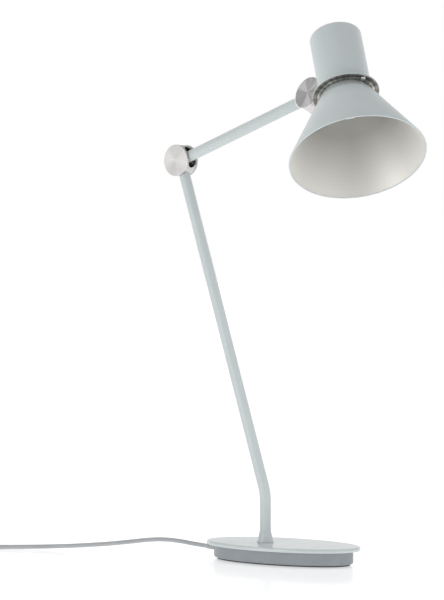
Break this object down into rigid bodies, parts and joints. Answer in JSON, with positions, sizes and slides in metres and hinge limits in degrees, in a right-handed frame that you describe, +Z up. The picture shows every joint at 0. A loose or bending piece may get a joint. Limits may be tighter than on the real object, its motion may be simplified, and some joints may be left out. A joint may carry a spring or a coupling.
{
  "type": "desk lamp",
  "caption": "Architect desk lamp: oval weighted base, bent swivel post, drum elbow, arm, tilting conical shade under a round cap, and a mains lead.",
  "frame": {"origin": "on the post's swivel axis, level with the surface that the lamp stands on", "axes": "+Z up; the post leans towards -X and the arm reaches towards +X in the XZ plane; the oval base is turned 14.4 degrees about +Z"},
  "size_m": [0.7065, 0.3341, 0.6591],
  "materials": {
    "paint": "satin powder coat, pale grey-green",
    "weight_paint": "satin blue-grey paint on cast iron",
    "zinc_steel": "zinc plated",
    "pad_rubber": "matt, fine textured",
    "nylon": "natural nylon",
    "lead_grey": "soft grey PVC sheath",
    "tie_black": "woven hook and loop",
    "plug_grey": "moulded PVC",
    "nickel_brass": "nickel plated",
    "brushed_nickel": "turned and satin nickel plated",
    "chrome_steel": "bright chrome",
    "brushed_steel": "turned, brushed",
    "holder_plastic": "white thermoset",
    "button_plastic": "pale grey",
    "opal_glass": "opal, matt"
  },
  "bodies": {
    "base": {"base_plate": "paint", "base_weight": "weight_paint", "base_screws": "zinc_steel", "base_pad": "pad_rubber", "swivel_bush": "nylon", "swivel_washer": "zinc_steel", "cord_gland": "lead_grey", "base_lead": "lead_grey", "cord": "lead_grey", "cord_coil": "lead_grey", "cord_tail": "lead_grey", "coil_tie": "tie_black", "plug_body": "plug_grey", "plug_pins": "nickel_brass"},
    "post": {"post": "paint", "post_collar": "paint", "post_nut": "zinc_steel", "post_lead": "lead_grey", "elbow_drum": "brushed_nickel", "elbow_cap_front": "brushed_nickel", "elbow_cap_back": "brushed_nickel", "elbow_pin": "zinc_steel", "elbow_washers": "nylon"},
    "upper_arm": {"upper_arm": "paint", "arm_eye": "zinc_steel", "arm_bush": "nylon", "arm_lead": "lead_grey"},
    "head_knuckle": {"head_stem": "chrome_steel", "stem_clip": "zinc_steel", "head_drum": "brushed_nickel", "head_cap_front": "brushed_nickel", "head_cap_back": "brushed_nickel", "head_pin": "zinc_steel", "head_washers": "nylon"},
    "shade": {"shade_bracket": "zinc_steel", "bracket_rivets": "zinc_steel", "shade_cap": "paint", "shade_ring": "brushed_steel", "shade_cone": "paint", "ring_screws": "chrome_steel", "cone_rivets": "zinc_steel", "holder_clamp": "zinc_steel", "lamp_holder": "holder_plastic", "bulb_base": "nickel_brass", "bulb_glass": "opal_glass", "switch_body": "holder_plastic", "switch_spring": "zinc_steel"},
    "switch_button": {"switch_button": "button_plastic"}
  },
  "joints": [
    {"name": "base_swivel", "type": "hinge", "parent": "base", "child": "post", "pos_m": [0, 0, 0.018], "axis": [0, 0, 1], "range_deg": [-90, 90]},
    {"name": "elbow_hinge", "type": "hinge", "parent": "post", "child": "upper_arm", "pos_m": [-0.14027, 0, 0.4979], "axis": [0, -1, 0], "range_deg": [-25, 22]},
    {"name": "head_roll", "type": "hinge", "parent": "upper_arm", "child": "head_knuckle", "pos_m": [0.07544, 0, 0.57176], "axis": [0.9461, 0, 0.3239], "range_deg": [-60, 60]},
    {"name": "head_tilt", "type": "hinge", "parent": "head_knuckle", "child": "shade", "pos_m": [0.07544, 0, 0.57176], "axis": [-0.1118, -0.9385, 0.3267], "range_deg": [-38, 42]},
    {"name": "switch_press", "type": "slide", "parent": "shade", "child": "switch_button", "axis": [0.4544, -0.3407, -0.8231], "range_m": [0, 0.0025], "stiffness_N_per_m": 400, "springref_m": -0.003, "deforming": ["switch_spring"]}
  ]
}
